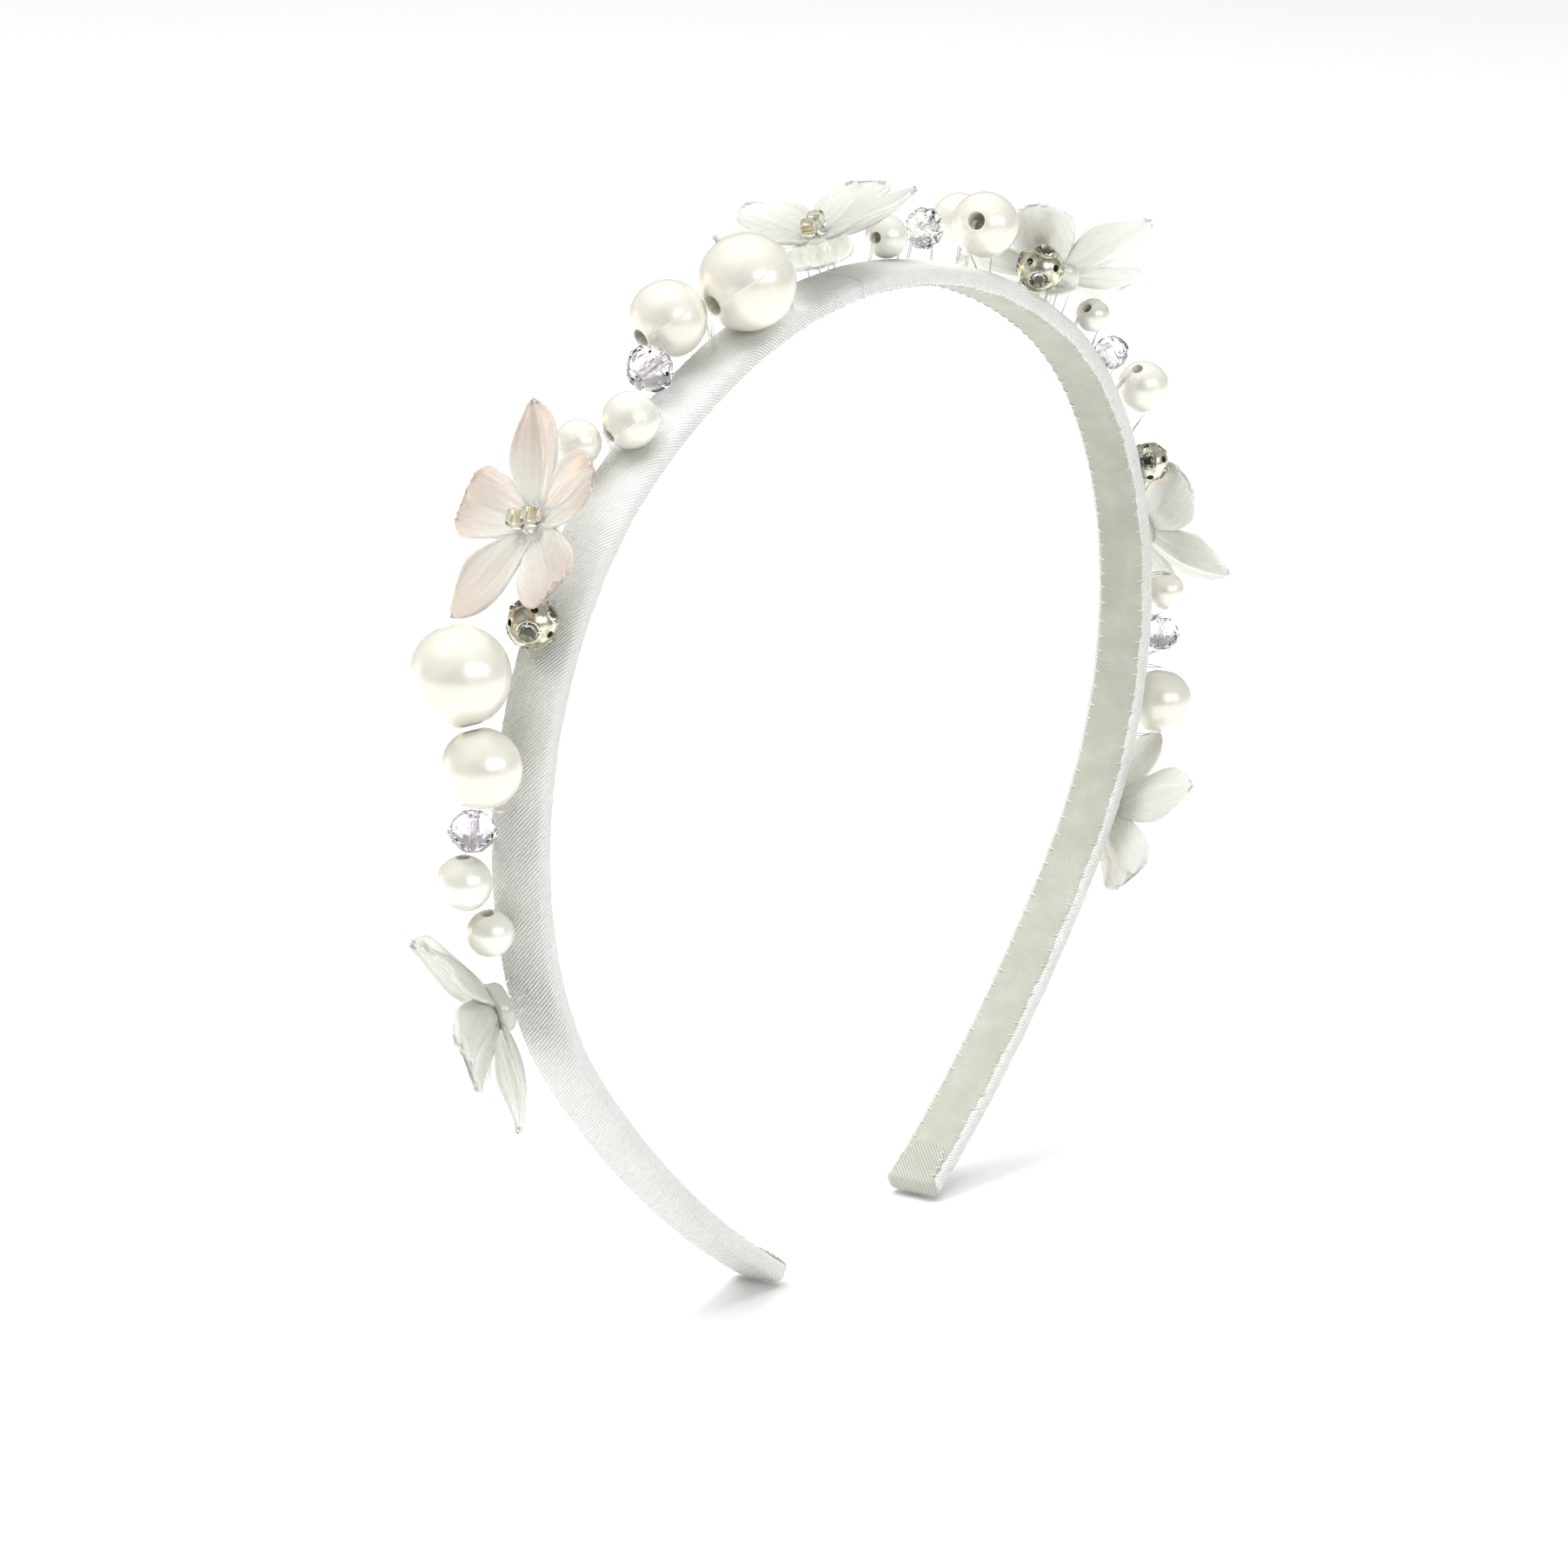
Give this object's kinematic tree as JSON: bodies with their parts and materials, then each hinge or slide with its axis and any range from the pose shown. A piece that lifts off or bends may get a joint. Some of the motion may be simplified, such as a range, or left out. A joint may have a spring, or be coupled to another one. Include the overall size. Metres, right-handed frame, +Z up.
{
  "type": "headband",
  "caption": "Slim sprung hair band in a satin cover, with strung pearls, faceted beads and moulded flowers sewn along its outer face.",
  "frame": {"origin": "middle of the crown's inner face, where the band sits on the top of the head", "axes": "+Z up out of the head, +X from the left leg to the right leg as drawn, +Y across the strip, from the side where the pearls overhang the left leg least towards its back edge"},
  "size_m": [0.168, 0.0291, 0.1355],
  "materials": {
    "core": "moulded strip hidden by the cover",
    "satin": "off-white satin with a fine diagonal weave and a soft sheen",
    "lining": "matte grey-white ribbon",
    "seam_thread": "white sewing thread",
    "bead_thread": "clear monofilament",
    "pearl": "ivory pearl lacquer, glossy",
    "crystal": "cut glass with a faint lilac tint",
    "silver_plate": "bright silver plate, dark in its piercings",
    "rhinestone": "foiled cut glass",
    "flower": "pearlescent moulding with veined petals",
    "seed_bead": "clear seed bead with a yellowish cast"
  },
  "bodies": {
    "crown": {"core_crown": "core", "satin_cover_crown": "satin", "lining_crown": "lining", "seam_thread_crown": "seam_thread", "bead_threads_crown": "bead_thread", "flower_3": "flower", "seed_beads_3": "seed_bead", "flower_4": "flower", "seed_beads_4": "seed_bead"},
    "left_leg": {"core_left": "core", "satin_cover_left": "satin", "lining_left": "lining", "seam_thread_left": "seam_thread", "bead_threads_left": "bead_thread", "end_fold_left": "satin", "flower_1": "flower", "seed_beads_1": "seed_bead", "flower_2": "flower", "seed_beads_2": "seed_bead"},
    "right_leg": {"core_right": "core", "satin_cover_right": "satin", "lining_right": "lining", "seam_thread_right": "seam_thread", "bead_threads_right": "bead_thread", "end_fold_right": "satin", "flower_5": "flower", "seed_beads_5": "seed_bead", "flower_6": "flower", "seed_beads_6": "seed_bead"},
    "pearl_01_bead": {"pearl_01": "pearl"},
    "pearl_02_bead": {"pearl_02": "pearl"},
    "pearl_03_bead": {"pearl_03": "pearl"},
    "pearl_04_bead": {"pearl_04": "pearl"},
    "pearl_05_bead": {"pearl_05": "pearl"},
    "pearl_06_bead": {"pearl_06": "pearl"},
    "pearl_07_bead": {"pearl_07": "pearl"},
    "pearl_08_bead": {"pearl_08": "pearl"},
    "pearl_09_bead": {"pearl_09": "pearl"},
    "pearl_10_bead": {"pearl_10": "pearl"},
    "pearl_11_bead": {"pearl_11": "pearl"},
    "pearl_12_bead": {"pearl_12": "pearl"},
    "pearl_13_bead": {"pearl_13": "pearl"},
    "pearl_14_bead": {"pearl_14": "pearl"},
    "pearl_15_bead": {"pearl_15": "pearl"},
    "crystal_1_bead": {"crystal_1": "crystal"},
    "crystal_2_bead": {"crystal_2": "crystal"},
    "crystal_3_bead": {"crystal_3": "crystal"},
    "crystal_4_bead": {"crystal_4": "crystal"},
    "crystal_5_bead": {"crystal_5": "crystal"},
    "rhinestone_ball_1": {"rhinestone_ball_1_shell": "silver_plate", "rhinestone_ball_1_chatons": "rhinestone"},
    "rhinestone_ball_2": {"rhinestone_ball_2_shell": "silver_plate", "rhinestone_ball_2_chatons": "rhinestone"},
    "rhinestone_ball_3": {"rhinestone_ball_3_shell": "silver_plate", "rhinestone_ball_3_chatons": "rhinestone"}
  },
  "joints": [
    {"name": "left_leg_flex", "type": "hinge", "parent": "crown", "child": "left_leg", "pos_m": [-0.04138, 0, -0.00888], "axis": [0, 1, 0], "range_deg": [-5, 20], "stiffness_Nm_per_rad": 0.47},
    {"name": "right_leg_flex", "type": "hinge", "parent": "crown", "child": "right_leg", "pos_m": [0.0556, 0, -0.01862], "axis": [0, -1, 0], "range_deg": [-5, 20], "stiffness_Nm_per_rad": 0.47},
    {"name": "pearl_01_spin", "type": "hinge", "parent": "left_leg", "child": "pearl_01_bead", "pos_m": [-0.07502, 0.0014, -0.06273], "axis": [-0.2296, 0, 0.9733], "continuous": true},
    {"name": "pearl_02_spin", "type": "hinge", "parent": "left_leg", "child": "pearl_02_bead", "pos_m": [-0.07727, 0.0035, -0.05645], "axis": [-0.0435, 0, 0.9991], "continuous": true},
    {"name": "pearl_03_spin", "type": "hinge", "parent": "left_leg", "child": "pearl_03_bead", "pos_m": [-0.07645, 0.0016, -0.04263], "axis": [0.0819, 0.3334, 0.9392], "continuous": true},
    {"name": "pearl_04_spin", "type": "hinge", "parent": "left_leg", "child": "pearl_04_bead", "pos_m": [-0.07552, 0.00525, -0.03235], "axis": [0.0832, 0.3321, 0.9396], "continuous": true},
    {"name": "pearl_05_spin", "type": "hinge", "parent": "left_leg", "child": "pearl_05_bead", "pos_m": [-0.05233, 0.0046, -0.0093], "axis": [0.6322, -0.6428, 0.4326], "continuous": true},
    {"name": "pearl_06_spin", "type": "hinge", "parent": "left_leg", "child": "pearl_06_bead", "pos_m": [-0.04803, 0.0002, -0.00683], "axis": [0.8108, -0.342, 0.475], "continuous": true},
    {"name": "pearl_07_spin", "type": "hinge", "parent": "crown", "child": "pearl_07_bead", "pos_m": [-0.0339, 0.0043, 0.00219], "axis": [0.8742, -0.275, 0.4002], "continuous": true},
    {"name": "pearl_08_spin", "type": "hinge", "parent": "crown", "child": "pearl_08_bead", "pos_m": [-0.02457, -0.0008, 0.00566], "axis": [0.8862, -0.273, 0.3743], "continuous": true},
    {"name": "pearl_09_spin", "type": "hinge", "parent": "crown", "child": "pearl_09_bead", "pos_m": [0.01088, 0.0016, 0.00497], "axis": [0.9933, 0, -0.1153], "continuous": true},
    {"name": "pearl_10_spin", "type": "hinge", "parent": "crown", "child": "pearl_10_bead", "pos_m": [0.03554, 0.0058, 0.00253], "axis": [0.7634, 0.5736, -0.2971], "continuous": true},
    {"name": "pearl_11_spin", "type": "hinge", "parent": "crown", "child": "pearl_11_bead", "pos_m": [0.03017, -0.0012, 0.0036], "axis": [0.9299, 0.2079, -0.3036], "continuous": true},
    {"name": "pearl_12_spin", "type": "hinge", "parent": "crown", "child": "pearl_12_bead", "pos_m": [0.05486, -0.003, -0.01215], "axis": [0.7842, 0, -0.6205], "continuous": true},
    {"name": "pearl_13_spin", "type": "hinge", "parent": "right_leg", "child": "pearl_13_bead", "pos_m": [0.06835, -0.0032, -0.0241], "axis": [0.5403, 0, -0.8415], "continuous": true},
    {"name": "pearl_14_spin", "type": "hinge", "parent": "right_leg", "child": "pearl_14_bead", "pos_m": [0.07582, -0.0033, -0.0534], "axis": [0.0116, 0, -0.9999], "continuous": true},
    {"name": "pearl_15_spin", "type": "hinge", "parent": "right_leg", "child": "pearl_15_bead", "pos_m": [0.07576, -0.003, -0.06875], "axis": [-0.2628, 0, -0.9648], "continuous": true},
    {"name": "crystal_1_spin", "type": "hinge", "parent": "left_leg", "child": "crystal_1_bead", "pos_m": [-0.0765, 0.0028, -0.05026], "axis": [0.0687, 0, 0.9976], "continuous": true},
    {"name": "crystal_2_spin", "type": "hinge", "parent": "crown", "child": "crystal_2_bead", "pos_m": [-0.04003, 0.0028, -0.00253], "axis": [0.8802, -0.2419, 0.4084], "continuous": true},
    {"name": "crystal_3_spin", "type": "hinge", "parent": "crown", "child": "crystal_3_bead", "pos_m": [0.02144, 0.0025, 0.00416], "axis": [0.9744, 0, -0.2247], "continuous": true},
    {"name": "crystal_4_spin", "type": "hinge", "parent": "right_leg", "child": "crystal_4_bead", "pos_m": [0.06225, -0.0016, -0.01865], "axis": [0.6577, 0, -0.7533], "continuous": true},
    {"name": "crystal_5_spin", "type": "hinge", "parent": "right_leg", "child": "crystal_5_bead", "pos_m": [0.07576, -0.0028, -0.05938], "axis": [-0.0985, 0, -0.9951], "continuous": true},
    {"name": "rhinestone_ball_1_spin", "type": "hinge", "parent": "left_leg", "child": "rhinestone_ball_1", "pos_m": [-0.06797, 0.0003, -0.02694], "axis": [0.5055, 0, 0.8628], "continuous": true},
    {"name": "rhinestone_ball_2_spin", "type": "hinge", "parent": "crown", "child": "rhinestone_ball_2", "pos_m": [0.04105, -0.003, -0.00357], "axis": [0.9009, 0, -0.434], "continuous": true},
    {"name": "rhinestone_ball_3_spin", "type": "hinge", "parent": "right_leg", "child": "rhinestone_ball_3", "pos_m": [0.07116, -0.0028, -0.03493], "axis": [0.3604, 0, -0.9328], "continuous": true}
  ]
}
